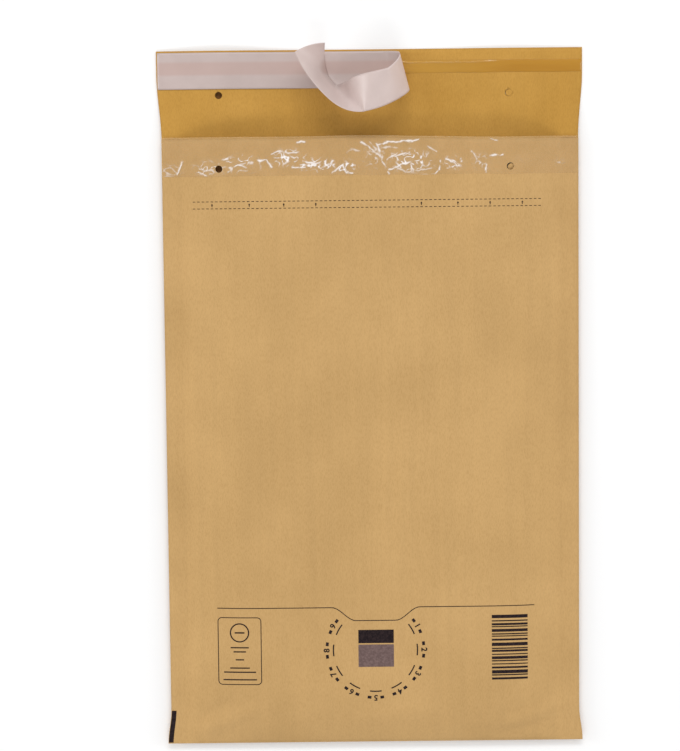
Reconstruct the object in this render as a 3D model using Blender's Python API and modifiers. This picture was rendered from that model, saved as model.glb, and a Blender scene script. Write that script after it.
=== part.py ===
"""A padded mailing envelope, empty and open, lying on its back.

One kraft sheet is folded round a bubble-film lining and sealed down both sides. The lining laps over
the mouth's edge onto the front. The flap lies flat, and its release strip is peeled back over itself.

Metres. X runs across the envelope, +Y from the bottom fold to the flap, +Z up from the back panel.
The origin is the centre of the back, on the surface that the envelope lies on.
"""

import math

import bmesh
import bpy
import numpy as np
from mathutils import Matrix, Vector

# The envelope
FLAP_WIDTH = 0.240
BODY_WIDTH = 0.235  # the padding draws the paper in
BOTTOM_WIDTH = 0.239
BODY_LENGTH = 0.346
FLAP_LENGTH = 0.050
SEAM_WIDTH = 0.010
SEAM_RISE = 0.0025  # the side seams stand clear of the surface below
BOTTOM_FLARE = 0.020
BOTTOM_TAPER = 0.045
FLAP_TAPER = 0.036  # from the mouth to where the flap has its full width
FLAP_SETTLE = 0.024  # from the mouth to where the flap lies flat
GAP = 0.0003  # between neighbouring layers

# The layers
PAPER = 0.0003
FILM = 0.0004
BUBBLE_WALL = 0.0030
WALL_SHARE = 0.3  # most of the lining's height that one wall takes, near its edges
FRONT_FLAT = 0.5  # how far out the front stays level, 1 being a seam's inner line
BACK_FLAT = 0.6
POCKET_EDGE = 0.97
GAPE = 0.0054
LAP_LENGTH = 0.021
LAP_FILM = 0.0003

# The punched holes on the left, through the flap and through the body
HOLE_RADIUS = 0.0020
HOLE_SIDES = 20
HOLE_X = -0.085
FLAP_HOLE_DEPTH = 0.0250  # below the flap's edge
BODY_HOLE_DEPTH = 0.0164  # below the mouth

# The glue and its release strip
GLUE_WIDTH = 0.0070
GLUE_THICKNESS = 0.0002
GLUE_DEPTH = 0.0100  # its middle, below the flap's edge
STRIP_WIDTH = 0.0205
STRIP_DEPTH = 0.0112
STRIP_THICKNESS = 0.0003
PEEL_X = 0.0100  # where the strip leaves the glue
PEEL_LENGTH = 0.110
PEEL_STEP = 0.001
MM = 0.001
STRIP_ROWS = 41
STRIP_COLUMNS = 5
# The curl: how far along it, its bend in degrees a millimetre, and the slant of the bend's line in degrees
CURL = (
    (0.000, 3.7, 35),
    (0.006, 7.5, 9),
    (0.013, 5.8, 18),
    (0.020, 1.5, -10),
    (0.029, 2.1, -31),
    (0.038, 2.4, 13),
    (0.047, 6.5, 34),
    (0.056, 4.9, -11),
    (0.068, -8.0, -55),
    (0.082, -0.9, -2),
    (0.100, -2.3, 49),
)

Y_TOP = (BODY_LENGTH + FLAP_LENGTH) / 2
Y_BOTTOM = -Y_TOP
Y_MOUTH = Y_BOTTOM + BODY_LENGTH
SIDE_MARGIN = 0.0005
RIM_STEP = 0.0004  # the lap turns over just inside the end of the film
CUT_SPARE = 0.010  # how far a cutter reaches past what it cuts
SEAM_STACK = PAPER + 2 * GAP + FILM
FRONT_RISE = 2 * BUBBLE_WALL + GAPE - FILM - SEAM_RISE

# Across the envelope: 0 at the middle, 1 at a seam's inner line, 2 at the paper's edge
COLUMNS = (-2, -1, -0.89, -0.78, -0.65, -0.5, -0.25, 0, 0.25, 0.5, 0.65, 0.78, 0.89, 1, 2)
# Up the body, from the bottom fold
BODY_ROWS = (0.002, 0.005, 0.010, 0.015, 0.020, 0.028, 0.036, 0.045, 0.120, 0.200, 0.280)
# Up the flap, from the mouth
FLAP_ROWS = (0.006, 0.012, 0.018, FLAP_SETTLE, 0.030, FLAP_TAPER, FLAP_LENGTH)


def clear_scene():
    for obj in list(bpy.data.objects):
        bpy.data.objects.remove(obj)


def new_collection(name):
    collection = bpy.data.collections.new(name)
    bpy.context.scene.collection.children.link(collection)
    return collection


def material(name, color, roughness, alpha=1.0):
    made = bpy.data.materials.new(name)
    made.use_nodes = True
    shader = made.node_tree.nodes["Principled BSDF"]
    shader.inputs["Base Color"].default_value = (*color, 1.0)
    shader.inputs["Roughness"].default_value = roughness
    shader.inputs["Metallic"].default_value = 0.0
    shader.inputs["Alpha"].default_value = alpha
    return made


def smooth(t):
    t = min(max(t, 0.0), 1.0)
    return t * t * (3 - 2 * t)


def half_width(y):
    """Half the paper's width at this height up the envelope."""
    flap = smooth((y - Y_MOUTH) / FLAP_TAPER)
    flare = 1 - smooth((y - Y_BOTTOM) / BOTTOM_FLARE)
    width = BODY_WIDTH + (FLAP_WIDTH - BODY_WIDTH) * flap + (BOTTOM_WIDTH - BODY_WIDTH) * flare
    return width / 2


def across(column, y, margin=0.0):
    inner = half_width(y) - SEAM_WIDTH
    if abs(column) <= 1:
        return column * inner
    return math.copysign(inner + (abs(column) - 1) * (SEAM_WIDTH - margin), column)


def shoulder(column, flat):
    """1 over the flat middle, falling to 0 at the seam's inner line."""
    t = min(max((abs(column) - flat) / (1 - flat), 0.0), 1.0)
    return 1 - t**3


def swell(y):
    """0 at the bottom fold, rising to 1 where the padding has its full height."""
    t = min(max((y - Y_BOTTOM) / BOTTOM_TAPER, 0.0), 1.0)
    return 1 - (1 - t) ** 3


def back_height(column, y):
    """Middle of the back paper's thickness. Beyond the mouth it settles flat to become the flap."""
    lifted = 1 - shoulder(column, BACK_FLAT) * swell(y)
    settle = 1 - smooth((y - Y_MOUTH) / FLAP_SETTLE)
    return PAPER / 2 + SEAM_RISE * lifted * settle


def front_height(column, y):
    """Middle of the front paper's thickness."""
    return PAPER / 2 + SEAM_RISE + SEAM_STACK + FRONT_RISE * shoulder(column, FRONT_FLAT) * swell(y)


def lining_low(column, y):
    return back_height(column, y) + PAPER / 2 + GAP


def lining_high(column, y):
    return front_height(column, y) - PAPER / 2 - GAP


def bubble_wall(column, y):
    return min(BUBBLE_WALL, WALL_SHARE * (lining_high(column, y) - lining_low(column, y)))


def pocket_low(column, y):
    return lining_low(column, y) + bubble_wall(column, y)


def pocket_high(column, y):
    return lining_high(column, y) - bubble_wall(column, y)


def lap_height(column, y):
    return front_height(column, y) + PAPER / 2 + GAP + LAP_FILM / 2


def new_object(name, bm, collection, finish=None):
    mesh = bpy.data.meshes.new(name)
    bm.to_mesh(mesh)
    bm.free()
    obj = bpy.data.objects.new(name, mesh)
    collection.objects.link(obj)
    if finish:
        mesh.materials.append(finish)
    else:
        show_as_cutter(obj)
    return obj


def draped_grid(columns, rows, margin=0.0):
    """A grid sheet whose rows are (y, height), and which column and y each of its places came from."""
    bm = bmesh.new()
    wide, long = len(columns) - 1, len(rows) - 1
    made = bmesh.ops.create_grid(bm, x_segments=wide, y_segments=long, size=1)
    sources = {}
    for vert in made["verts"]:
        column = columns[round((vert.co.x + 1) / 2 * wide)]
        y, height = rows[round((vert.co.y + 1) / 2 * long)]
        vert.co = (across(column, y, margin), y, height(column, y))
        sources[vert.co.x, vert.co.y] = (column, y)
    split_outwards(bm)
    return bm, sources


def split_outwards(bm):
    """Splits each four-sided face from its corner nearest the centre, so that stacked layers match."""
    for face in list(bm.faces):
        near = min(face.verts, key=lambda vert: abs(vert.co.x) + abs(vert.co.y))
        corners = list(face.verts)
        far = corners[(corners.index(near) + 2) % 4]
        bmesh.utils.face_split(face, near, far)


def layer(name, columns, ys, low, high, collection, margin=0.0, finish=None):
    """A closed solid between two heights."""
    bm, sources = draped_grid(columns, [(y, low) for y in ys], margin)
    raised = bmesh.ops.extrude_face_region(bm, geom=bm.faces[:])
    for item in raised["geom"]:
        if isinstance(item, bmesh.types.BMVert):
            item.co.z = high(*sources[item.co.x, item.co.y])
    bmesh.ops.recalc_face_normals(bm, faces=bm.faces)
    return new_object(name, bm, collection, finish)


def thicken(obj, thickness):
    shell = obj.modifiers.new("Thickness", "SOLIDIFY")
    shell.thickness = thickness
    shell.offset = 0.0
    shell.use_even_offset = True


def combine(obj, other, operation):
    change = obj.modifiers.new(operation.title(), "BOOLEAN")
    change.operation = operation
    change.object = other


def punch(name, y, top, collection):
    """A cutter for a punched hole, from below the paper to a little above this height."""
    bottom, top = -CUT_SPARE, top + CUT_SPARE
    bpy.ops.mesh.primitive_cylinder_add(
        vertices=HOLE_SIDES, radius=HOLE_RADIUS, depth=top - bottom, location=(HOLE_X, y, (top + bottom) / 2)
    )
    tool = bpy.context.object
    tool.name = name
    show_as_cutter(tool)
    move_to(tool, collection)
    return tool


def show_as_cutter(obj):
    obj.hide_render = True
    obj.display_type = "WIRE"


def move_to(obj, collection):
    for owner in list(obj.users_collection):
        owner.objects.unlink(obj)
    collection.objects.link(obj)


def body_stations():
    return [Y_BOTTOM + step for step in BODY_ROWS]


def kraft_rows():
    """From the flap's edge down the back, round the bottom fold and up the front to the mouth."""
    flap = [(Y_MOUTH + step, back_height) for step in reversed(FLAP_ROWS)]
    lap_start = Y_MOUTH - LAP_LENGTH
    ups = body_stations() + [lap_start]
    back = [(y, back_height) for y in [Y_MOUTH] + ups[::-1]]
    front = [(y, front_height) for y in ups + [Y_MOUTH - RIM_STEP - LAP_FILM - GAP]]
    return flap + back + bottom_fold() + front


def bottom_fold():
    """Half a turn from the back paper to the front paper."""
    low = back_height(0, Y_BOTTOM)
    radius = SEAM_STACK / 2
    centre_y = Y_BOTTOM + radius
    rows = []
    for angle in (-90, -45, 0, 45, 90):
        turn = math.radians(angle)
        height = low + radius + radius * math.sin(turn)
        rows.append((centre_y - radius * math.cos(turn), lambda column, y, height=height: height))
    return rows


def make_kraft(collection, punches):
    finish = material("kraft_paper", (0.58, 0.37, 0.15), 0.75)
    bm, _ = draped_grid(COLUMNS, kraft_rows())
    obj = new_object("kraft_envelope", bm, collection, finish)
    thicken(obj, PAPER)
    for tool in punches:
        combine(obj, tool, "DIFFERENCE")
    return obj


def make_lap(collection):
    """The film that turns over the mouth's edge and lies on the outside of the front."""
    rim = Y_MOUTH - RIM_STEP - LAP_FILM / 2
    rows = [
        (Y_MOUTH - LAP_LENGTH, lap_height),
        (rim, lap_height),
        (rim, lambda column, y: lining_high(column, y) - FILM / 2),
    ]
    bm, _ = draped_grid(COLUMNS, rows, SIDE_MARGIN + RIM_STEP)
    obj = new_object("lining_lap", bm, collection)
    thicken(obj, LAP_FILM)
    return obj


def make_pocket(collection):
    columns = (-POCKET_EDGE,) + COLUMNS[2:-2] + (POCKET_EDGE,)
    ys = body_stations()[1:] + [Y_MOUTH - LAP_LENGTH, Y_MOUTH + CUT_SPARE]
    return layer("lining_pocket", columns, ys, pocket_low, pocket_high, collection)


def make_liner(collection, cutters, body_punch):
    finish = material("bubble_film", (0.80, 0.80, 0.80), 0.15, alpha=0.35)
    ys = body_stations() + [Y_MOUTH - LAP_LENGTH, Y_MOUTH]
    obj = layer("bubble_liner", COLUMNS, ys, lining_low, lining_high, collection, SIDE_MARGIN, finish)
    combine(obj, make_lap(cutters), "UNION")
    combine(obj, make_pocket(cutters), "DIFFERENCE")
    combine(obj, body_punch, "DIFFERENCE")
    return obj


def make_glue(collection):
    bpy.ops.mesh.primitive_cube_add(size=1)
    obj = bpy.context.object
    obj.name = "adhesive_strip"
    size = (FLAP_WIDTH - 2 * SIDE_MARGIN, GLUE_WIDTH, GLUE_THICKNESS)
    centre = Vector((0, Y_TOP - GLUE_DEPTH, PAPER + GAP + GLUE_THICKNESS / 2))
    obj.data.transform(Matrix.Translation(centre) @ Matrix.Diagonal((*size, 1)))
    obj.data.materials.append(material("adhesive", (0.50, 0.25, 0.04), 0.25))
    move_to(obj, collection)
    return obj


def curl_lines():
    """Along the peeled stretch: how far, the strip's middle, its cross line and that line's slant."""
    marks, bends, slants = zip(*CURL)
    middle = Vector((PEEL_X, Y_TOP - STRIP_DEPTH, strip_height()))
    ahead, side = Vector((1, 0, 0)), Vector((0, -1, 0))
    lines = []
    for along in np.arange(0, PEEL_LENGTH + STRIP_WIDTH, PEEL_STEP):
        slant = math.tan(math.radians(np.interp(along, marks, slants)))
        cross = side + slant * ahead
        lines.append((along, slant, *middle, *cross))
        angle = math.radians(np.interp(along, marks, bends)) * cross.length * PEEL_STEP / MM
        half_turn = Matrix.Rotation(angle / 2, 3, cross)
        middle = middle + half_turn @ ahead * PEEL_STEP
        ahead, side = half_turn @ half_turn @ ahead, half_turn @ half_turn @ side
    return np.array(lines)


def strip_height():
    """Middle of the release strip's thickness where it lies on the glue."""
    return PAPER + GAP + GLUE_THICKNESS + GAP + STRIP_THICKNESS / 2


def strip_place(lines, along, offset):
    """The point this far along the flat strip and this far off its middle, once the strip has curled."""
    if along <= 0:
        return Vector((PEEL_X + along, Y_TOP - STRIP_DEPTH - offset, strip_height()))
    places = np.maximum.accumulate(lines[:, 0] + offset * lines[:, 1])
    points = lines[:, 2:5] + offset * lines[:, 5:8]
    return Vector([np.interp(along, places, points[:, axis]) for axis in range(3)])


def make_strip(collection):
    lines = curl_lines()
    start = -(PEEL_X + FLAP_WIDTH / 2 - SIDE_MARGIN)
    alongs = [start, start / 2, *np.linspace(0, PEEL_LENGTH, STRIP_ROWS)]
    offsets = np.linspace(-STRIP_WIDTH / 2, STRIP_WIDTH / 2, STRIP_COLUMNS)
    bm = bmesh.new()
    wide, long = len(offsets) - 1, len(alongs) - 1
    made = bmesh.ops.create_grid(bm, x_segments=wide, y_segments=long, size=1)
    for vert in made["verts"]:
        offset = offsets[round((vert.co.x + 1) / 2 * wide)]
        along = alongs[round((vert.co.y + 1) / 2 * long)]
        vert.co = strip_place(lines, along, offset)
    obj = new_object("release_liner", bm, collection, material("release_paper", (0.62, 0.50, 0.49), 0.45))
    thicken(obj, STRIP_THICKNESS)
    return obj


def main():
    clear_scene()
    parts = new_collection("padded_envelope")
    cutters = new_collection("cutters")
    body_punch = punch("body_punch", Y_MOUTH - BODY_HOLE_DEPTH, lap_height(0, Y_MOUTH), cutters)
    flap_punch = punch("flap_punch", Y_TOP - FLAP_HOLE_DEPTH, PAPER, cutters)
    make_kraft(parts, (body_punch, flap_punch))
    make_liner(parts, cutters, body_punch)
    make_glue(parts)
    make_strip(parts)


main()
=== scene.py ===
"""The looks of a padded mailing envelope that lies on its back, open, with its release strip half peeled.

Everything is in metres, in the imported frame: X across, +Y from the bottom fold to the flap, +Z up.
"""

import math

import bmesh
import bpy
import numpy as np
from mathutils import Matrix, Vector, noise


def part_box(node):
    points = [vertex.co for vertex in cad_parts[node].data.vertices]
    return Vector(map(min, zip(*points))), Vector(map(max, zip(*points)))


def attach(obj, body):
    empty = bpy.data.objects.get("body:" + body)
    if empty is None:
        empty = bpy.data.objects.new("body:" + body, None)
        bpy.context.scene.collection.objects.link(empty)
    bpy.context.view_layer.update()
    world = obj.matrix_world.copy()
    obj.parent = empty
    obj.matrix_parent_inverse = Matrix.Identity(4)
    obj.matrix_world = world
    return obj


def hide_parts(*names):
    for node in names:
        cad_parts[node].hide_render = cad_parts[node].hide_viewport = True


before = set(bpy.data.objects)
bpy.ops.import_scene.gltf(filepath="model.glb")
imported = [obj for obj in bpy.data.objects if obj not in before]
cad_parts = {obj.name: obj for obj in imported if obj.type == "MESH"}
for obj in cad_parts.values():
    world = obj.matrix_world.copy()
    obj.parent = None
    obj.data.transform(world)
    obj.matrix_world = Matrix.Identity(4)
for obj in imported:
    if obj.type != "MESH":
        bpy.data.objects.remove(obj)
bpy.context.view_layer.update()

MM = 0.001
PAPER_LOW, PAPER_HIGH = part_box("kraft_envelope")
Y_BOTTOM, Y_TOP = PAPER_LOW.y, PAPER_HIGH.y
FLAP_LENGTH = 0.050
Y_MOUTH = Y_TOP - FLAP_LENGTH

# The paper and its padding
FLAP_WIDTH = 0.240
BODY_WIDTH = 0.235
BOTTOM_WIDTH = 0.239
SEAM_WIDTH = 0.010
SEAM_RISE = 0.0025
SEAM_STACK = 0.0013
SEAM_LINE = 0.00035  # depth of the welded line beside each seam
SEAM_LINE_WIDTH = 0.0016
BOTTOM_FLARE = 0.020
BOTTOM_TAPER = 0.045
FLAP_TAPER = 0.036
FLAP_SETTLE = 0.024
FLAP_LIFT = 0.0024
FLAP_LIFT_REACH = 0.030
PAPER = 0.0003
PAPER_SHOWN = 0.0002
GAP = 0.0003
BUBBLE_WALL = 0.0030
FRONT_RISE = 0.0085
FRONT_FLAT = 0.5  # shares of the way to a seam where the panels start to bend down
WAVES_FLAT = 0.8
BACK_FLAT = 0.6
FOLD_START = 0.0007  # the bottom's half turn starts this far above the bottom edge
FOLD_NOSE = 0.00015
RIM_BACK = 0.0009  # the paper ends this far inside the film's rim
EDGE_INSET = 0.0006  # the glue and the strip end this far inside the paper's sides
GRID_STEP = 0.0021

# Soft folds in the front: start, end, width and height in millimetres
PANEL_FOLDS = (
    ((2, 160), (9, 80), 3.6, -0.6), ((12, 156), (20, 95), 3.6, 0.3), ((-50, 154), (-58, 100), 4.0, -0.3),
)
BOTTOM_FOLDS = (
    ((-107, -194), (-62, -174), 3.8, 1.1), ((-104, -184), (-78, -170), 3.6, -0.9),
    ((112, -174), (70, -190), 4.0, 1.3), ((104, -186), (60, -194), 3.0, -0.6),
    ((-20, -184), (40, -178), 5.0, 0.6),
)

# The film
LAP_LENGTH = 0.021
LAP_STEP = 0.00042
LAP_CLEARANCE = 0.0001
LAP_INSET = 0.0004
RIM_RADIUS = 0.00035
RIM_DOWN = 0.0007
RIM_TUCK = 0.004
WALL_SHARE = 0.3  # the most of the room between front and back that one bubble wall takes
BUBBLE_RADIUS = 0.0048
BUBBLE_PITCH = 0.0105
BUBBLE_SIDES = 12
BUBBLE_RINGS = ((1.0, 0.02), (0.97, 0.52), (0.80, 0.84), (0.40, 0.93))  # shares of its radius and height

# The punched holes: left ones are open with a dark disc behind as painted shade, right ones keep their discs
# of paper
HOLE_RADIUS = 0.0020
HOLE_SIDES = 36
FILM_HOLE = 1.2  # the lining's holes and the painted-shade discs, as shares of the paper's holes
LEFT_HOLE_X = -0.085
RIGHT_HOLE_X = 0.0785
FLAP_HOLE_Y = Y_TOP - 0.0250
BODY_HOLE_Y = Y_MOUTH - 0.0164

# The glue and the release strip
GLUE_LOW, GLUE_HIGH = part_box("adhesive_strip")
STRIP_WIDTH = 0.0205
STRIP_DEPTH = 0.0112
STRIP_SHOWN = 0.00012
PEEL_X = 0.0100
PEEL_LENGTH = 0.110
PEEL_STEP = 0.001
STRIP_HEIGHT = 0.00125
# The curl: how far along it, its bend in degrees a millimetre, and the slant of the bend's line in degrees
CURL = (
    (0.000, 3.7, 35),
    (0.006, 7.5, 9),
    (0.013, 5.8, 18),
    (0.020, 1.5, -10),
    (0.029, 2.1, -31),
    (0.038, 2.4, 13),
    (0.047, 6.5, 34),
    (0.056, 4.9, -11),
    (0.068, -8.0, -55),
    (0.082, -0.9, -2),
    (0.100, -2.3, 49),
)

# Sharp creases in the film lap: points in millimetres from the middle and below the mouth
CREASES = (
    ((-117, 20), (-111, 20)), ((-109, 19), (-106, 12)), ((-97, 18), (-92, 20)), ((-96, 16), (-88, 17)),
    ((-85, 12), (-79, 11)), ((-80, 18), (-74, 15), (-69, 16)), ((-74, 15), (-66, 13)),
    ((-63, 12), (-58, 12), (-55, 16)), ((-55, 9), (-52, 7), (-48, 8), (-43, 11)), ((-49, 15), (-46, 13)),
    ((-44, 16), (-34, 16), (-33, 14)), ((-38, 13), (-28, 14)), ((-27, 16), (-20, 13)), ((-24, 17), (-21, 13)),
    ((-21, 19), (-16, 15), (-14, 19), (-10, 19)), ((-13, 9), (-10, 7), (-6, 8)), ((-41, 3), (-37, 3)),
    ((-5, 3), (6, 11)), ((0, 3), (5, 10)), ((3, 4), (8, 15), (11, 22)), ((4, 5), (14, 3), (27, 2)),
    ((6, 6), (15, 6)), ((9, 12), (14, 10), (22, 9)), ((9, 18), (18, 15), (27, 13)),
    ((14, 16), (20, 19), (35, 17)), ((21, 21), (36, 21), (39, 18), (39, 13)), ((28, 12), (29, 10)),
    ((32, 5), (37, 8)), ((43, 12), (46, 13), (51, 16)), ((43, 17), (47, 16), (51, 16)),
    ((56, 8), (60, 12)), ((65, 20), (65, 15)), ((68, 1), (71, 2)), ((106, 14), (107, 14)),
    ((67, 10), (74, 10)),
)
# Patches of crumpled film: middle across, half length, depth below the mouth, half depth, strength
CRUMPLES = (
    (-112, 8, 17, 4, 0.6), (-90, 11, 16, 5, 0.7), (-72, 12, 14, 5, 0.9), (-46, 11, 11, 5, 1.0),
    (-30, 13, 15, 4, 1.0), (-14, 7, 16, 4, 1.0), (3, 9, 11, 8, 0.6), (22, 15, 13, 7, 0.9),
    (47, 6, 14, 4, 1.0), (62, 6, 14, 6, 0.6), (85, 20, 13, 6, 0.25), (107, 5, 14, 3, 0.4),
)


# ---- Shape of the paper -------------------------------------------------------------------------

def smooth(t):
    t = np.clip(t, 0.0, 1.0)
    return t * t * (3 - 2 * t)


def half_width(y):
    flap = smooth((y - Y_MOUTH) / FLAP_TAPER)
    flare = 1 - smooth((y - Y_BOTTOM) / BOTTOM_FLARE)
    return (BODY_WIDTH + (FLAP_WIDTH - BODY_WIDTH) * flap + (BOTTOM_WIDTH - BODY_WIDTH) * flare) / 2


def column_of(x, y):
    """0 at the middle, 1 at a seam's inner line, 2 at the paper's edge."""
    inner = half_width(y) - SEAM_WIDTH
    away = np.abs(x)
    return np.where(away <= inner, away / inner, 1 + (away - inner) / SEAM_WIDTH)


def shoulder(column, flat):
    return 1 - np.clip((column - flat) / (1 - flat), 0, 1) ** 3


def swell(y):
    return 1 - (1 - np.clip((y - Y_BOTTOM) / BOTTOM_TAPER, 0, 1)) ** 3


def ridge(x, y, start, end, width, height):
    """A soft fold along a line, fading at its ends. The fold's own sizes are in millimetres."""
    (ax, ay), (bx, by) = start, end
    x, y = x / MM, y / MM
    dx, dy = bx - ax, by - ay
    length = math.hypot(dx, dy)
    along = ((x - ax) * dx + (y - ay) * dy) / length**2
    off = ((x - ax) * dy - (y - ay) * dx) / length
    fade = smooth(along * 4) * smooth((1 - along) * 4)
    return height * MM * fade * np.exp(-((off / width) ** 2))


def field(x, y, scale, seed):
    """Smooth noise at each place, from about -1 to 1."""
    flat_x, flat_y = np.broadcast_arrays(x, y)
    values = [
        noise.noise(Vector((a / scale, b / scale, seed)))
        for a, b in zip(flat_x.ravel().tolist(), flat_y.ravel().tolist())
    ]
    return np.array(values).reshape(flat_x.shape)


def front_waves(x, y):
    """Slight unevenness of the padded front."""
    waves = 0.00035 * field(x, y, 0.055, 3.1) + 0.00012 * field(x, y, 0.018, 8.7)
    for fold in PANEL_FOLDS:
        waves = waves + ridge(x, y, *fold)
    corners = sum(ridge(x, y, *fold) for fold in BOTTOM_FOLDS)
    return waves * shoulder(column_of(x, y), WAVES_FLAT) * swell(y) + corners


def front_height(x, y):
    padding = shoulder(column_of(x, y), FRONT_FLAT) * swell(y)
    welded = np.exp(-(((np.abs(x) - half_width(y) + SEAM_WIDTH) / SEAM_LINE_WIDTH) ** 2))
    welded = welded * smooth((Y_MOUTH - LAP_LENGTH - 0.002 - y) / 0.01)
    flat = PAPER / 2 + SEAM_RISE + SEAM_STACK
    return flat + FRONT_RISE * padding - SEAM_LINE * welded + front_waves(x, y)


def flap_lift(x, y):
    """The flap stands a little off the floor round its left hole, and half as much round its right one."""
    left = np.exp(-(((x - LEFT_HOLE_X) / FLAP_LIFT_REACH) ** 2))
    right = np.exp(-(((x - RIGHT_HOLE_X) / FLAP_LIFT_REACH) ** 2))
    across = left + 0.5 * right
    return FLAP_LIFT * across * smooth((y - Y_MOUTH - 0.001) / 0.018)


def back_height(x, y):
    lifted = 1 - shoulder(column_of(x, y), BACK_FLAT) * swell(y)
    settle = 1 - smooth((y - Y_MOUTH) / FLAP_SETTLE)
    return PAPER / 2 + SEAM_RISE * lifted * settle + flap_lift(x, y)


def rim_wave(x):
    """How far the mouth's edge strays from a straight line."""
    middle = 0.0006 * np.exp(-(((x + 0.005) / 0.025) ** 2))
    return middle - 0.0006 * np.exp(-(((x - 0.07) / 0.025) ** 2)) - 0.005 * (x - 0.14)


# ---- Mesh helpers -------------------------------------------------------------------------------

def grid_object(name, points, finish):
    """A smooth-shaded object from rows of points."""
    rows, columns = points.shape[:2]
    bm = bmesh.new()
    verts = [bm.verts.new(point) for point in points.reshape(-1, 3)]
    for row in range(rows - 1):
        for column in range(columns - 1):
            corner = row * columns + column
            quad = (corner, corner + 1, corner + columns + 1, corner + columns)
            bm.faces.new([verts[index] for index in quad]).smooth = True
    return object_from(name, bm, finish)


def object_from(name, bm, finish):
    mesh = bpy.data.meshes.new(name)
    bm.to_mesh(mesh)
    bm.free()
    obj = bpy.data.objects.new(name, mesh)
    bpy.context.scene.collection.objects.link(obj)
    for each in finish if isinstance(finish, (list, tuple)) else [finish]:
        mesh.materials.append(each)
    return obj


def face_values(mesh, name):
    values = np.empty(len(mesh.polygons) * 3)
    mesh.polygons.foreach_get(name, values)
    return values.reshape(-1, 3)


def apply_modifiers(obj):
    bpy.context.view_layer.update()
    evaluated = obj.evaluated_get(bpy.context.evaluated_depsgraph_get())
    mesh = bpy.data.meshes.new_from_object(evaluated)
    obj.modifiers.clear()
    obj.data = mesh


def thicken(obj, thickness, offset=0.0):
    shell = obj.modifiers.new("Thickness", "SOLIDIFY")
    shell.thickness = thickness
    shell.offset = offset
    apply_modifiers(obj)


def punch(obj, x, y, low, high):
    bm = bmesh.new()
    bmesh.ops.create_cone(
        bm, cap_ends=True, segments=HOLE_SIDES, radius1=HOLE_RADIUS, radius2=HOLE_RADIUS, depth=high - low
    )
    bmesh.ops.translate(bm, verts=bm.verts, vec=(x, y, (low + high) / 2))
    tool = object_from("punch", bm, obj.data.materials[0])
    cut = obj.modifiers.new("Punch", "BOOLEAN")
    cut.operation = "DIFFERENCE"
    cut.object = tool
    apply_modifiers(obj)
    bpy.data.objects.remove(tool)


# ---- Materials ----------------------------------------------------------------------------------

def new_material(name, roughness, **values):
    made = bpy.data.materials.new(name)
    made.use_nodes = True
    shader = made.node_tree.nodes["Principled BSDF"]
    shader.inputs["Roughness"].default_value = roughness
    for socket, value in values.items():
        shader.inputs[socket.replace("_", " ")].default_value = value
    return made, made.node_tree, shader


def add(tree, kind, **settings):
    node = tree.nodes.new(kind)
    for name, value in settings.items():
        setattr(node, name, value)
    return node


def noise_node(tree, place, scale, detail=4.0, roughness=0.55):
    made = add(tree, "ShaderNodeTexNoise")
    made.inputs["Scale"].default_value = scale
    made.inputs["Detail"].default_value = detail
    made.inputs["Roughness"].default_value = roughness
    tree.links.new(place, made.inputs["Vector"])
    return made.outputs["Fac"]


def stretched(tree, scale):
    place = add(tree, "ShaderNodeTexCoord")
    mapping = add(tree, "ShaderNodeMapping")
    mapping.inputs["Scale"].default_value = scale
    tree.links.new(place.outputs["Object"], mapping.inputs["Vector"])
    return mapping.outputs["Vector"]


def ramp(tree, value, low, high, low_color, high_color):
    made = add(tree, "ShaderNodeValToRGB")
    made.color_ramp.elements[0].position = low
    made.color_ramp.elements[1].position = high
    made.color_ramp.elements[0].color = (*low_color, 1)
    made.color_ramp.elements[1].color = (*high_color, 1)
    tree.links.new(value, made.inputs["Fac"])
    return made.outputs["Color"]


def blend_color(tree, kind, amount, first, second):
    made = add(tree, "ShaderNodeMix", data_type="RGBA", blend_type=kind)
    made.inputs["Factor"].default_value = amount
    tree.links.new(first, made.inputs["A"])
    tree.links.new(second, made.inputs["B"])
    return made.outputs["Result"]


def mix_by(tree, factor, first, second):
    made = add(tree, "ShaderNodeMix", data_type="RGBA")
    tree.links.new(factor, made.inputs["Factor"])
    tree.links.new(first, made.inputs["A"])
    tree.links.new(second, made.inputs["B"])
    return made.outputs["Result"]


def fading(tree, value, start, end, most):
    """Falls smoothly from `most` to 0 as a value goes from start to end."""
    made = add(tree, "ShaderNodeMapRange", interpolation_type="SMOOTHSTEP")
    for name, number in (("From Min", start), ("From Max", end), ("To Min", most), ("To Max", 0.0)):
        made.inputs[name].default_value = number
    tree.links.new(value, made.inputs["Value"])
    return made.outputs["Result"]


def add_bump(tree, shader, value, strength, distance):
    bump = add(tree, "ShaderNodeBump")
    bump.inputs["Strength"].default_value = strength
    bump.inputs["Distance"].default_value = distance
    tree.links.new(value, bump.inputs["Height"])
    tree.links.new(bump.outputs["Normal"], shader.inputs["Normal"])


def kraft_material(name, dark, light, fleck):
    """Kraft paper: soft mottling, faint streaks along its length and fine fibres."""
    made, tree, shader = new_material(name, 0.72, Specular_IOR_Level=0.25)
    even = stretched(tree, (1, 1, 1))
    base = ramp(tree, noise_node(tree, even, 22, 3), 0.35, 0.68, dark, light)
    streaks = noise_node(tree, stretched(tree, (220, 9, 9)), 1, 3)
    streaks = ramp(tree, streaks, 0.3, 0.7, (0.93, 0.93, 0.93), (1, 1, 1))
    fibres = noise_node(tree, stretched(tree, (2400, 500, 900)), 1, 3, 0.7)
    flecks = ramp(tree, fibres, 0.36, 0.56, fleck, (1, 1, 1))
    color = blend_color(tree, "MULTIPLY", 0.6, base, streaks)
    color = blend_color(tree, "MULTIPLY", 0.55, color, flecks)
    tree.links.new(color, shader.inputs["Base Color"])
    add_bump(tree, shader, fibres, 0.25, 0.00008)
    return made


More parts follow.
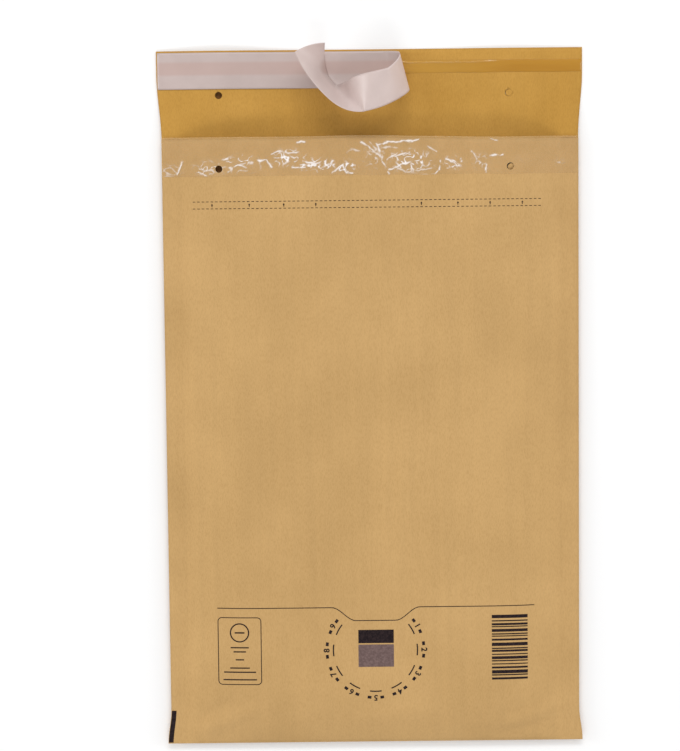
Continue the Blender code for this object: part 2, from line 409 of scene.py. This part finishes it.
def film_material():
    """Clear film, white along its creases: partly the film's own whitening, partly painted glints."""
    made, tree, shader = new_material("clear_film", 0.16, IOR=1.5, Specular_IOR_Level=0.5)
    cloud = noise_node(tree, stretched(tree, (1, 1, 1)), 90, 3)
    clear = ramp(tree, cloud, 0.35, 0.7, (0.64, 0.42, 0.185), (0.73, 0.49, 0.230))
    white_and_glint = add(tree, "ShaderNodeRGB")
    white_and_glint.outputs["Color"].default_value = (0.97, 0.92, 0.90, 1)
    # The crease attribute whitens the film and makes it more opaque: partly its own whitening at creases,
    # partly painted glints.
    crease = add(tree, "ShaderNodeAttribute", attribute_name="crease")
    color = mix_by(tree, crease.outputs["Fac"], clear, white_and_glint.outputs["Color"])
    tree.links.new(color, shader.inputs["Base Color"])
    opaque = add(tree, "ShaderNodeMapRange")
    opaque.inputs["To Min"].default_value = 0.30
    opaque.inputs["To Max"].default_value = 0.95
    tree.links.new(crease.outputs["Fac"], opaque.inputs["Value"])
    tree.links.new(opaque.outputs["Result"], shader.inputs["Alpha"])
    add_bump(tree, shader, noise_node(tree, stretched(tree, (1, 1, 1)), 1400, 2), 0.12, 0.00006)
    return made


def bubble_material():
    """Cloudy film that lets some of the paper behind it through."""
    made, tree, shader = new_material("bubble_film", 0.12, Alpha=0.6, IOR=1.5, Specular_IOR_Level=0.8)
    cloud = noise_node(tree, stretched(tree, (1, 1, 1)), 160, 3)
    color = ramp(tree, cloud, 0.3, 0.7, (0.66, 0.62, 0.55), (0.82, 0.80, 0.76))
    tree.links.new(color, shader.inputs["Base Color"])
    return made


def glue_material():
    """Amber glue, darker to the right where the bead is thicker."""
    made, tree, shader = new_material("amber_glue", 0.22, IOR=1.48, Specular_IOR_Level=0.5)
    cloud = noise_node(tree, stretched(tree, (14, 120, 60)), 1, 4)
    thin = ramp(tree, cloud, 0.3, 0.7, (0.470, 0.234, 0.025), (0.542, 0.281, 0.034))
    thick = ramp(tree, cloud, 0.3, 0.7, (0.415, 0.186, 0.011), (0.479, 0.229, 0.017))
    place = add(tree, "ShaderNodeTexCoord")
    parts = add(tree, "ShaderNodeSeparateXYZ")
    tree.links.new(place.outputs["Object"], parts.inputs["Vector"])
    thinness = fading(tree, parts.outputs["X"], 0.035, 0.085, 1.0)
    tree.links.new(mix_by(tree, thinness, thick, thin), shader.inputs["Base Color"])
    add_bump(tree, shader, noise_node(tree, stretched(tree, (120, 700, 300)), 1, 3), 0.3, 0.0001)
    return made


def strip_material():
    """Silicone paper, darker where it still lies on the glue as painted shade, and with the glue showing
    through there.
    """
    made, tree, shader = new_material("release_paper", 0.38, Specular_IOR_Level=0.45)
    cloud = noise_node(tree, stretched(tree, (1, 1, 1)), 60, 4)
    place = add(tree, "ShaderNodeTexCoord")
    parts = add(tree, "ShaderNodeSeparateXYZ")
    tree.links.new(place.outputs["Object"], parts.inputs["Vector"])
    laid = fading(tree, parts.outputs["Z"], 0.0045, 0.0090, 1.0)
    loose = ramp(tree, cloud, 0.3, 0.7, (0.590, 0.478, 0.447), (0.655, 0.537, 0.506))
    # Where the strip lies on the glue it takes a darker copy of its colour: painted shade.
    stuck_painted_shade = ramp(tree, cloud, 0.3, 0.7, (0.505, 0.408, 0.381), (0.560, 0.457, 0.430))
    color = mix_by(tree, laid, loose, stuck_painted_shade)
    glue_y = (GLUE_LOW.y + GLUE_HIGH.y) / 2
    away = add(tree, "ShaderNodeMath", operation="SUBTRACT")
    tree.links.new(parts.outputs["Y"], away.inputs[0])
    away.inputs[1].default_value = glue_y
    size = add(tree, "ShaderNodeMath", operation="ABSOLUTE")
    tree.links.new(away.outputs["Value"], size.inputs[0])
    band = fading(tree, size.outputs["Value"], 0.0026, 0.0046, 0.55)
    tint = add(tree, "ShaderNodeMath", operation="MULTIPLY")
    tree.links.new(band, tint.inputs[0])
    tree.links.new(laid, tint.inputs[1])
    pink = add(tree, "ShaderNodeRGB")
    pink.outputs["Color"].default_value = (0.500, 0.335, 0.292, 1)
    color = mix_by(tree, tint.outputs["Value"], color, pink.outputs["Color"])
    tree.links.new(color, shader.inputs["Base Color"])
    fibres = noise_node(tree, stretched(tree, (900, 1500, 900)), 1, 3)
    add_bump(tree, shader, fibres, 0.12, 0.00005)
    return made


def ink_material(name, dark, light):
    made, tree, shader = new_material(name, 0.8, Specular_IOR_Level=0.08)
    cloud = noise_node(tree, stretched(tree, (1, 1, 1)), 900, 3)
    tree.links.new(ramp(tree, cloud, 0.35, 0.7, dark, light), shader.inputs["Base Color"])
    return made


FRONT_KRAFT = kraft_material(
    "kraft_printed_side", (0.550, 0.338, 0.132), (0.606, 0.376, 0.151), (0.80, 0.76, 0.68)
)
INNER_KRAFT = kraft_material(
    "kraft_inner_side", (0.515, 0.272, 0.048), (0.590, 0.320, 0.065), (0.80, 0.74, 0.62)
)
# Darkened kraft for the discs behind the left holes: painted shade for the dark seen down the holes.
HOLE_SHADE_KRAFT = kraft_material(
    "kraft_painted_shade_in_holes", (0.200, 0.085, 0.020), (0.260, 0.115, 0.030), (0.80, 0.74, 0.62)
)
FILM = film_material()
BUBBLES = bubble_material()
GLUE = glue_material()
STRIP = strip_material()
INK = ink_material("black_ink", (0.012, 0.008, 0.010), (0.035, 0.022, 0.022))
GREY_INK = ink_material("grey_ink", (0.130, 0.085, 0.080), (0.200, 0.135, 0.125))


# ---- The kraft sheet ----------------------------------------------------------------------------

def place_columns(y):
    """X positions across the sheet, with a line on each seam's inner edge."""
    half = half_width(y)
    inner = half - SEAM_WIDTH
    seam = np.linspace(0, SEAM_WIDTH, 5)[1:]
    body = np.linspace(-1, 1, 104) * inner
    return np.concatenate([-(inner + seam[::-1]), body, inner + seam])


def steps_between(start, end):
    count = max(1, round(abs(end - start) / GRID_STEP))
    return list(np.linspace(start, end, count + 1))


def kraft_rows():
    rows = []
    for y in steps_between(Y_TOP, Y_BOTTOM + FOLD_START):
        x = place_columns(y)
        rows.append(np.stack([x, np.full_like(x, y), back_height(x, y)], 1))
    rows += fold_rows()
    front_end = Y_MOUTH - RIM_BACK
    for y in steps_between(Y_BOTTOM + FOLD_START, front_end):
        x = place_columns(y)
        bent = y + rim_wave(x) * smooth((y - front_end + 0.02) / 0.02)
        rows.append(np.stack([x, bent, front_height(x, y)], 1))
    return np.array(rows)


def fold_rows():
    """Half a turn at the bottom from the back to the front."""
    low = PAPER / 2 + SEAM_RISE
    radius = SEAM_STACK / 2
    rows = []
    for turn in np.radians((-60, -30, 0, 30, 60)):
        y = Y_BOTTOM + FOLD_NOSE + radius * (1 - math.cos(turn))
        x = place_columns(y)
        height = low + radius + radius * math.sin(turn)
        rows.append(np.stack([x, np.full_like(x, y), np.full_like(x, height)], 1))
    return rows


def make_kraft():
    points = kraft_rows()
    obj = grid_object("kraft_sheet", points, [INNER_KRAFT, FRONT_KRAFT])
    thicken(obj, PAPER_SHOWN)
    centres, normals = face_values(obj.data, "center"), face_values(obj.data, "normal")
    x, y, z = centres.T
    on_front = (y < Y_MOUTH) & (z > (front_height(x, y) + back_height(x, y)) / 2)
    printed = (on_front & (normals[:, 2] > -0.2)).astype(np.int32)
    obj.data.polygons.foreach_set("material_index", printed)
    for x in (LEFT_HOLE_X, RIGHT_HOLE_X):
        punch(obj, x, FLAP_HOLE_Y, -0.01, 0.01)
        punch(obj, x, BODY_HOLE_Y, -0.01, 0.03)
    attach(obj, "root")
    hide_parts("kraft_envelope")


# ---- The film lap and the bubbles ---------------------------------------------------------------

def crease_heights(x, depth):
    """Heights of sharp little ridges along the listed creases, and their white lines, partly the film's own
    whitening and partly painted glints. Millimetres in, metres out.
    """
    total = np.zeros_like(x)
    white_and_glint = np.zeros_like(x)
    x = x + 0.9 * field(x, depth, 4.5, 2.7) + 0.35 * field(x, depth, 1.6, 8.1)
    depth = depth + 0.9 * field(x, depth, 4.5, 6.3) + 0.35 * field(x, depth, 1.6, 3.9)
    spread = 0.46 + 0.34 * field(x, depth, 3.1, 7.2)
    for number, crease in enumerate(CREASES):
        every_third = number % 3 == 0
        lift = 0.00028 * (0.7 if every_third else 1)
        best = np.full_like(x, 99.0)
        for (ax, ay), (bx, by) in zip(crease, crease[1:]):
            dx, dy = bx - ax, by - ay
            along = np.clip(((x - ax) * dx + (depth - ay) * dy) / (dx * dx + dy * dy), 0, 1)
            best = np.minimum(best, np.hypot(x - ax - along * dx, depth - ay - along * dy))
        total = np.maximum(total, lift * np.exp(-best / 0.6))
        near = np.exp(-((best / np.maximum(spread, 0.2)) ** 2))
        white_and_glint = np.maximum(white_and_glint, (0.75 if every_third else 1.0) * near)
    broken = smooth(0.85 + 1.3 * field(x, depth, 2.6, 4.1))
    return total, white_and_glint * broken


def crumple_heights(x, depth):
    """Crumpled patches: folded noise, strong only inside them, with painted glints and a faint haze of
    whitened film there.
    """
    where = np.full_like(x, 0.10)
    for middle, half, down, half_down, strength in CRUMPLES:
        spot = np.exp(-(((x - middle) / half) ** 2) - ((depth - down) / half_down) ** 2)
        where = np.maximum(where, strength * spot)
    warp = 1.6 * field(x, depth, 6.0, 1.7)
    large = 1 - np.abs(field(x + warp, depth - warp, 3.6, 5.2)) * 2
    small = 1 - np.abs(field((x - warp) * 0.8, depth, 2.3, 9.4)) * 2
    glints = np.clip(small - 0.62, 0, 1) * 6.5 * np.clip(where - 0.2, 0, 1) * smooth(1.3 * large)
    haze = 0.13 * np.clip(where - 0.1, 0, 1) * smooth(0.5 + 0.8 * large)
    return where * (0.00022 * large + 0.00009 * small), np.maximum(glints, haze)


def lap_points():
    depths = np.concatenate([np.arange(0, LAP_LENGTH, LAP_STEP)[::-1], [0.0]])
    count = round(BODY_WIDTH / LAP_STEP)
    half = BODY_WIDTH / 2 - LAP_INSET
    x = np.linspace(-half, half, count)[None, :] * np.ones((len(depths), 1))
    depth = depths[:, None] * np.ones((1, count))
    y = Y_MOUTH - depth
    ragged = 0.0004 * field(x, y, 0.012, 6.6) * smooth((depth - LAP_LENGTH + 0.002) / 0.002)
    fade = smooth(depth / 0.002) * smooth((LAP_LENGTH - depth) / 0.0015)
    lines, crease_lines_white_and_glint = crease_heights(x / MM, depth / MM)
    crumples, glints = crumple_heights(x / MM, depth / MM)
    wrinkle = (lines + crumples) * (0.15 + 0.85 * fade)
    z = front_height(x, y) + PAPER_SHOWN / 2 + LAP_CLEARANCE + np.maximum(wrinkle, 0)
    y = y + rim_wave(x) * smooth(1 - depth / 0.02) + ragged
    outside = np.stack([x, y, z], 2)
    points = np.concatenate([outside, rim_turn(outside[-1])])
    lap_white_and_glints = np.zeros(points.shape[:2])
    # White lines and patches on the lap: the film's own whitening at creases, with painted glints.
    lap_white_and_glints[: len(x)] = np.clip(np.maximum(crease_lines_white_and_glint, glints), 0, 1) * (0.3 + 0.7 * fade)
    return points, lap_white_and_glints


def rim_turn(edge):
    """The film turns over the paper's edge and down inside it."""
    rows = []
    for turn in np.radians((30, 60, 90, 120, 150, 180)):
        row = edge.copy()
        row[:, 1] += RIM_RADIUS * math.sin(turn)
        row[:, 2] -= RIM_RADIUS * (1 - math.cos(turn))
        rows.append(row)
    inside = edge.copy()
    inside[:, 1] -= RIM_TUCK
    inside[:, 2] -= RIM_DOWN
    return np.array(rows + [inside])


def make_lap():
    points, lap_white_and_glints = lap_points()
    obj = grid_object("film_lap", points, FILM)
    crease = obj.data.attributes.new("crease", "FLOAT", "POINT")
    crease.data.foreach_set("value", lap_white_and_glints.ravel())
    for x in (LEFT_HOLE_X, RIGHT_HOLE_X):
        remove_disc(obj, x, BODY_HOLE_Y, HOLE_RADIUS)
    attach(obj, "root")
    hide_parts("bubble_liner")


def remove_disc(obj, x, y, radius):
    """Cuts a round hole in a sheet: faces inside go, and the edge is drawn to the circle."""
    bm = bmesh.new()
    bm.from_mesh(obj.data)
    centre = Vector((x, y))
    inside = [face for face in bm.faces if (face.calc_center_median().xy - centre).length < radius]
    bmesh.ops.delete(bm, geom=inside, context="FACES")
    for vert in bm.verts:
        away = vert.co.xy - centre
        if vert.is_boundary and 0 < away.length < radius * 1.3:
            vert.co.xy = centre + away.normalized() * radius
    bm.to_mesh(obj.data)
    bm.free()


def bubble_centres(low_y, high_y):
    row_step = BUBBLE_PITCH * math.sqrt(3) / 2
    rows = int((high_y - low_y) / row_step)
    for row in range(rows):
        y = low_y + row_step * (row + 0.5)
        shift = (row % 2) * BUBBLE_PITCH / 2
        limit = float(half_width(np.array(y))) - SEAM_WIDTH - BUBBLE_RADIUS
        for step in range(-12, 13):
            x = step * BUBBLE_PITCH + shift
            if abs(x) < limit:
                yield x, y


def bubble_sheet(name, inner, outer, high_y):
    """A backing film towards the pocket, with crowned air bubbles between it and the paper."""
    bm = bmesh.new()
    ys = np.linspace(Y_BOTTOM + 0.008, high_y, 60)
    xs = np.linspace(-1, 1, 41)
    rows = []
    for y in ys:
        x = xs * (half_width(y) - SEAM_WIDTH * 0.9)
        z = inner(x, np.full_like(x, y))
        rows.append([bm.verts.new(point) for point in np.stack([x, np.full_like(x, y), z], 1)])
    for lower, upper in zip(rows, rows[1:]):
        for index in range(len(xs) - 1):
            bm.faces.new((lower[index], lower[index + 1], upper[index + 1], upper[index]))
    for x, y in bubble_centres(Y_BOTTOM + 0.012, high_y):
        add_bubble(bm, x, y, inner, outer)
    bmesh.ops.recalc_face_normals(bm, faces=bm.faces)
    for face in bm.faces:
        face.smooth = True
    return object_from(name, bm, BUBBLES)


def add_bubble(bm, x, y, inner, outer):
    turns = 2 * math.pi * np.arange(BUBBLE_SIDES) / BUBBLE_SIDES
    rings = []
    for share, height in BUBBLE_RINGS:
        xs = x + BUBBLE_RADIUS * share * np.cos(turns)
        ys = y + BUBBLE_RADIUS * share * np.sin(turns)
        base = inner(xs, ys)
        zs = base + (outer(xs, ys) - base) * height
        rings.append([bm.verts.new(point) for point in np.stack([xs, ys, zs], 1)])
    for lower, upper in zip(rings, rings[1:]):
        for step in range(BUBBLE_SIDES):
            after = (step + 1) % BUBBLE_SIDES
            bm.faces.new((lower[step], lower[after], upper[after], upper[step]))
    bm.faces.new(rings[-1])


def wall_at(x, y):
    """How thick one bubble wall is here."""
    room = front_height(x, y) - back_height(x, y) - PAPER - 2 * GAP
    return np.minimum(BUBBLE_WALL, WALL_SHARE * room)


def front_inner(x, y):
    return front_height(x, y) - PAPER / 2 - GAP - wall_at(x, y)


def front_outer(x, y):
    return front_height(x, y) - PAPER / 2 - GAP / 2


def back_inner(x, y):
    return back_height(x, y) + PAPER / 2 + GAP + wall_at(x, y)


def back_outer(x, y):
    return back_height(x, y) + PAPER / 2 + GAP / 2


def make_bubbles():
    layers = (
        ("front_bubble_wall", front_inner, front_outer, Y_MOUTH - 0.001),
        ("back_bubble_wall", back_inner, back_outer, Y_MOUTH - 0.004),
    )
    for name, inner, outer, high_y in layers:
        obj = bubble_sheet(name, inner, outer, high_y)
        for x in (LEFT_HOLE_X, RIGHT_HOLE_X):
            remove_disc(obj, x, BODY_HOLE_Y, HOLE_RADIUS * FILM_HOLE)
        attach(obj, "root")
        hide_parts("bubble_liner")


# ---- Paper discs: dark ones behind the left holes as painted shade, real ones in the right holes ---

def make_disc(name, x, y, z, tilt, finish, size=0.93):
    bm = bmesh.new()
    bmesh.ops.create_circle(bm, cap_ends=True, segments=32, radius=HOLE_RADIUS * size)
    turn = Matrix.Rotation(math.radians(tilt), 4, Vector((1, 0.7, 0)))
    bmesh.ops.transform(bm, matrix=Matrix.Translation((x, y, z)) @ turn, verts=bm.verts)
    obj = object_from(name, bm, finish)
    thicken(obj, PAPER_SHOWN)
    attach(obj, "root")


def make_discs():
    top = float(front_height(np.array(RIGHT_HOLE_X), np.array(BODY_HOLE_Y)))
    flap_z = float(back_height(np.array(RIGHT_HOLE_X), np.array(FLAP_HOLE_Y))) - 0.00005
    left_x = LEFT_HOLE_X - 0.0002
    # The discs behind the left holes are dark kraft set where the holes show only shade: painted shade.
    shade_disc_z = top - 0.0040
    make_disc("painted_shade_disc_in_body", left_x, BODY_HOLE_Y, shade_disc_z, 0, HOLE_SHADE_KRAFT, FILM_HOLE)
    make_disc("painted_shade_disc_in_flap", left_x, FLAP_HOLE_Y + 0.0001, 0.00025, 0, HOLE_SHADE_KRAFT, FILM_HOLE)
    sunk_z = top - 0.0008
    make_disc("body_hole_disc", RIGHT_HOLE_X + 0.0004, BODY_HOLE_Y - 0.0003, sunk_z, 20, FRONT_KRAFT)
    make_disc("flap_hole_disc", RIGHT_HOLE_X + 0.00015, FLAP_HOLE_Y, flap_z, 3, INNER_KRAFT)


# ---- Glue and release strip ---------------------------------------------------------------------

def make_glue():
    """A flat bead with slightly uneven edges."""
    low_z = PAPER + 0.00002
    half = FLAP_WIDTH / 2 - EDGE_INSET
    x = np.linspace(-half, half, 400)
    across = np.linspace(-1, 1, 33)
    middle = (GLUE_LOW.y + GLUE_HIGH.y) / 2
    half_band = (GLUE_HIGH.y - GLUE_LOW.y) / 2
    lower = half_band * (1 + 0.05 * field(x, np.zeros_like(x), 0.012, 2.2))
    upper = half_band * (1 + 0.05 * field(x, np.zeros_like(x), 0.015, 7.9))
    rows = []
    for share in across:
        y = middle + np.where(share < 0, share * lower, share * upper)
        crown = (1 - abs(share) ** 4) * 0.00022 + 0.00006 * (1 - share**2) * field(x, y, 0.004, 4.4)
        beaded = smooth((x - 0.016) / 0.006) * smooth((0.078 - x) / 0.02)
        crown = crown + 0.00035 * beaded * math.exp(-(((share - 0.72) / 0.14) ** 2))
        rows.append(np.stack([x, y, low_z + flap_lift(x, y) + np.maximum(crown, 0)], 1))
    obj = grid_object("glue_band", np.array(rows), GLUE)
    thicken(obj, 0.00002, offset=-1.0)
    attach(obj, "root")
    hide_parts("adhesive_strip")


def curl_lines():
    """Along the peeled stretch: how far, the strip's middle, its cross line and that line's slant."""
    marks, bends, slants = zip(*CURL)
    middle = Vector((PEEL_X, Y_TOP - STRIP_DEPTH, STRIP_HEIGHT))
    ahead, side = Vector((1, 0, 0)), Vector((0, -1, 0))
    lines = []
    for along in np.arange(0, PEEL_LENGTH + STRIP_WIDTH, PEEL_STEP):
        slant = math.tan(math.radians(np.interp(along, marks, slants)))
        cross = side + slant * ahead
        lines.append((along, slant, *middle, *cross))
        angle = math.radians(np.interp(along, marks, bends)) * cross.length * PEEL_STEP / MM
        half_turn = Matrix.Rotation(angle / 2, 3, cross)
        middle = middle + half_turn @ ahead * PEEL_STEP
        ahead, side = half_turn @ half_turn @ ahead, half_turn @ half_turn @ side
    return np.array(lines)


def strip_place(lines, along, offset):
    """A point on the strip: `along` is 0 at the bend, less on the glue and more on the curl."""
    if along <= 0:
        drop = (STRIP_HEIGHT - PAPER - 0.00035) * smooth(-along / 0.02)
        x, y = PEEL_X + along, Y_TOP - STRIP_DEPTH - offset
        return (x, y, STRIP_HEIGHT - drop + float(flap_lift(x, y)))
    places = np.maximum.accumulate(lines[:, 0] + offset * lines[:, 1])
    points = lines[:, 2:5] + offset * lines[:, 5:8]
    return [np.interp(along, places, points[:, axis]) for axis in range(3)]


def make_strip():
    lines = curl_lines()
    start = -(PEEL_X + FLAP_WIDTH / 2 - EDGE_INSET)
    laid = np.linspace(start, 0, 70)
    peeled = np.linspace(0, PEEL_LENGTH, 150)[1:]
    offsets = np.linspace(-STRIP_WIDTH / 2, STRIP_WIDTH / 2, 19)
    rows = [[strip_place(lines, along, offset) for offset in offsets] for along in (*laid, *peeled)]
    points = np.array(rows)
    flat = points[: len(laid)]
    flat[:, :, 2] += 0.00006 * field(flat[:, :, 0], flat[:, :, 1], 0.02, 3.3)
    obj = grid_object("release_strip", points, STRIP)
    thicken(obj, STRIP_SHOWN)
    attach(obj, "root")
    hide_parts("release_liner")


# ---- Print --------------------------------------------------------------------------------------

PRINT_LIFT = 0.00007
STROKE = 0.00045
BOLD_STROKE = 0.0007
DIAL_CENTRE = Vector((0.0003, -0.1426, 0))
DIAL_RADIUS = 0.0277
DIAL_ARC_RADIUS = 0.0240
DIAL_STEP = 30  # degrees between numbers, clockwise from 30 degrees above the right
NUMBER_SIZE = 0.0046


def add_bar(bm, left, bottom, right, top):
    """A printed rectangle, in pieces short enough to follow the paper. Millimetres."""
    nx = max(1, math.ceil((right - left) / 2.5))
    ny = max(1, math.ceil((top - bottom) / 2.5))
    grid = bmesh.ops.create_grid(bm, x_segments=nx, y_segments=ny, size=0.5)
    for vert in grid["verts"]:
        vert.co.x = (left + (vert.co.x + 0.5) * (right - left)) * MM
        vert.co.y = (bottom + (vert.co.y + 0.5) * (top - bottom)) * MM


def add_stroke(bm, points, width=STROKE, closed=False):
    """A printed line of even width through these points. Metres."""
    points = [Vector(point) for point in points]
    count = len(points)
    sides = []
    for index, point in enumerate(points):
        before = points[index - 1] if index or closed else point
        after = points[(index + 1) % count] if index < count - 1 or closed else point
        ahead = (after - before).normalized()
        normal = Vector((-ahead.y, ahead.x)) * width / 2
        sides.append([bm.verts.new((*(point + normal * sign), 0)) for sign in (1, -1)])
    pairs = list(zip(sides, sides[1:])) + ([(sides[-1], sides[0])] if closed else [])
    for first, second in pairs:
        bm.faces.new((first[0], first[1], second[1], second[0]))


def arc(x, y, radius, start, end, steps=12):
    turns = np.radians(np.linspace(start, end, steps))
    return [(x + radius * math.cos(turn), y + radius * math.sin(turn)) for turn in turns]


def add_rule(bm):
    """The line above the marks, which dips in the middle."""
    middle, flat_half, slope = 0.0007, 0.0115, 0.0135
    line = []
    for x in np.linspace(-0.0898, 0.0913, 110):
        dip = 0.0076 * (1 - smooth((abs(x - middle) - flat_half) / slope))
        line.append((x, -0.1179 - dip))
    add_stroke(bm, line)


def add_tear_marks(bm):
    """Two dashed lines with small arrows between them."""
    for y in (113.3, 109.4):
        for x in np.arange(-100.2, 95.5, 2.56):
            add_bar(bm, x, y - 0.17, x + 1.45, y + 0.17)
    for x in (-89.2, -68.2, -48.8, -30.8, 28.4, 48.9, 67.0, 85.2):
        add_arrow(bm, x * MM, 0.1113)


def add_arrow(bm, x, y):
    size = 0.0010
    corners = [(x, y + size), (x - size * 0.6, y), (x - size * 0.2, y), (x - size * 0.2, y - size),
               (x + size * 0.2, y - size), (x + size * 0.2, y), (x + size * 0.6, y)]
    bm.faces.new([bm.verts.new((*corner, 0)) for corner in corners])


def add_rounded_box(bm, left, bottom, right, top, radius):
    outline = []
    corners = ((right, top, 0), (left, top, 90), (left, bottom, 180), (right, bottom, 270))
    for x, y, start in corners:
        centre_x = x - radius if x == right else x + radius
        centre_y = y - radius if y == top else y + radius
        outline += arc(centre_x, centre_y, radius, start, start + 90, 7)
    add_stroke(bm, densify(outline), closed=True)


def densify(outline, step=0.003):
    """Adds points along the straight stretches, so that the line follows the paper."""
    dense = []
    for (ax, ay), (bx, by) in zip(outline, outline[1:] + outline[:1]):
        count = max(1, math.ceil(math.hypot(bx - ax, by - ay) / step))
        dense += [(ax + (bx - ax) * i / count, ay + (by - ay) * i / count) for i in range(count)]
    return dense


def add_plain_marks(bm):
    """Plain figures in the rounded box: a ring with a bar, and short lines under it."""
    add_stroke(bm, arc(-0.0772, -0.1320, 0.0052, 0, 350, 36), BOLD_STROKE, closed=True)
    add_bar(bm, -80.0, -132.4, -74.4, -131.6)
    for y, half in ((-140.6, 5.2), (-143.0, 3.6), (-147.6, 2.4), (-152.4, 5.6), (-154.8, 9.2), (-159.2, 9.6)):
        add_bar(bm, -77.2 - half, y - 0.35, -77.2 + half, y + 0.35)


def add_code_bars(bm):
    """Bars of a few widths in a plain rhythm, which encode nothing."""
    widths = (1.9, 0.7, 1.2, 0.6, 1.6, 0.7, 0.6, 1.1)
    gaps = (1.2, 1.0, 0.5, 1.1, 0.9, 0.6, 1.2)
    y = -123.1
    number = 0
    while y > -160.0:
        width = widths[number % len(widths)]
        add_bar(bm, 66.8, y - width, 87.4, y)
        y -= width + gaps[number % len(gaps)]
        number += 1


def add_register_bar(bm):
    """A plain bar down the paper's left edge at the bottom."""
    ys = np.linspace(-0.1787, Y_BOTTOM + 0.0008, 12)
    rows = []
    for y in ys:
        edge = -float(half_width(np.array(y))) + 0.00025
        rows.append([bm.verts.new((edge + step * 0.0009, y, 0)) for step in range(4)])
    for lower, upper in zip(rows, rows[1:]):
        for index in range(3):
            bm.faces.new((lower[index], lower[index + 1], upper[index + 1], upper[index]))


def number_mesh(text, size):
    curve = bpy.data.curves.new("number", "FONT")
    curve.body = text
    curve.size = size
    curve.align_x = "CENTER"
    curve.align_y = "CENTER"
    curve.offset = size * 0.025
    obj = bpy.data.objects.new("number", curve)
    bpy.context.scene.collection.objects.link(obj)
    bpy.context.view_layer.update()
    mesh = bpy.data.meshes.new_from_object(obj.evaluated_get(bpy.context.evaluated_depsgraph_get()))
    bpy.data.objects.remove(obj)
    return mesh


def add_dial(bm):
    """Plain numbers round an open ring, with a short arc inside each."""
    x, y = DIAL_CENTRE.xy
    for number in range(9):
        angle = DIAL_STEP - DIAL_STEP * number
        turn = math.radians(angle)
        place = DIAL_CENTRE + DIAL_RADIUS * Vector((math.cos(turn), math.sin(turn), 0))
        mesh = number_mesh(str(number + 1), NUMBER_SIZE)
        mesh.transform(Matrix.Translation(place) @ Matrix.Rotation(turn - math.pi / 2, 4, "Z"))
        bm.from_mesh(mesh)
        add_stroke(bm, arc(x, y, DIAL_ARC_RADIUS, angle - 8, angle + 8, 8), BOLD_STROKE)
        for side in (-1, 1):
            spot = angle + side * 7.5
            add_stroke(bm, arc(x, y, DIAL_RADIUS, spot - 2.2, spot + 2.2, 4), 0.0016)


def lay_on_front(bm):
    """Puts flat print just above the paper and turns its faces up."""
    places = np.array([vert.co.xy for vert in bm.verts])
    heights = front_height(places[:, 0], places[:, 1]) + PAPER_SHOWN / 2 + PRINT_LIFT
    for vert, height in zip(bm.verts, heights.tolist()):
        vert.co.z = height
    for face in bm.faces:
        face.normal_update()
        if face.normal.z < 0:
            face.normal_flip()


def make_print():
    black = bmesh.new()
    add_rule(black)
    add_tear_marks(black)
    add_rounded_box(black, -0.0895, -0.1620, -0.0649, -0.1233, 0.0022)
    add_plain_marks(black)
    add_code_bars(black)
    add_register_bar(black)
    add_dial(black)
    add_bar(black, -9.4, -138.6, 10.8, -130.9)
    grey = bmesh.new()
    add_bar(grey, -9.4, -152.3, 10.8, -139.4)
    for name, bm, finish in (("black_print", black, INK), ("grey_print", grey, GREY_INK)):
        lay_on_front(bm)
        obj = object_from(name, bm, finish)
        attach(obj, "root")


# ---- Stage --------------------------------------------------------------------------------------

CAMERA_DISTANCE = 1.2
CAMERA_TILT = math.radians(4.75)
CAMERA_ROLL = math.radians(0.613)
CAMERA_LENS = 101.3
AIM = Vector((-0.01827, 0.01431, 0.006))
# Name, place, size and power of each light
LIGHTS = (
    ("left_softbox", (-2.3, 0.3, 0.45), (0.4, 1.6), 17),
    ("right_softbox", (2.3, 0.2, 0.45), (0.4, 1.6), 14),
    ("top_softbox", (0.1, 1.5, 1.5), (1.6, 0.5), 16),
    ("low_softbox", (-0.2, -1.5, 1.5), (1.6, 0.5), 8),
)


def make_camera():
    back = Vector((0, math.sin(CAMERA_TILT), math.cos(CAMERA_TILT)))
    up = Vector((math.sin(CAMERA_ROLL), math.cos(CAMERA_ROLL), 0))
    right = up.cross(back).normalized()
    up = back.cross(right)
    data = bpy.data.cameras.new("camera")
    data.lens = CAMERA_LENS
    data.sensor_width = 36
    camera = bpy.data.objects.new("camera", data)
    bpy.context.scene.collection.objects.link(camera)
    rotation = Matrix((right, up, back)).transposed().to_4x4()
    camera.matrix_world = Matrix.Translation(AIM + back * CAMERA_DISTANCE) @ rotation
    bpy.context.scene.camera = camera


def area_light(name, place, size, power):
    """A softbox aimed at the middle of the part."""
    data = bpy.data.lights.new(name, "AREA")
    data.shape = "RECTANGLE"
    data.size, data.size_y = size
    data.energy = power
    light = bpy.data.objects.new(name, data)
    bpy.context.scene.collection.objects.link(light)
    light.location = place
    light.rotation_euler = (-Vector(place)).to_track_quat("-Z", "Y").to_euler()


def make_stage():
    bm = bmesh.new()
    bmesh.ops.create_grid(bm, x_segments=1, y_segments=1, size=6)
    made, _, shader = new_material("pale_floor", 0.9, Specular_IOR_Level=0.1)
    shader.inputs["Base Color"].default_value = (0.97, 0.97, 0.97, 1)
    floor = object_from("floor", bm, made)
    floor.location.z = -0.0002
    world = bpy.data.worlds.new("studio")
    bpy.context.scene.world = world
    world.use_nodes = True
    background = world.node_tree.nodes["Background"]
    background.inputs["Color"].default_value = (1, 1, 1, 1)
    background.inputs["Strength"].default_value = 0.62
    for light in LIGHTS:
        area_light(*light)
    bpy.context.scene.view_settings.view_transform = "Standard"


make_kraft()
make_lap()
make_bubbles()
make_discs()
make_glue()
make_strip()
make_print()
make_stage()
make_camera()
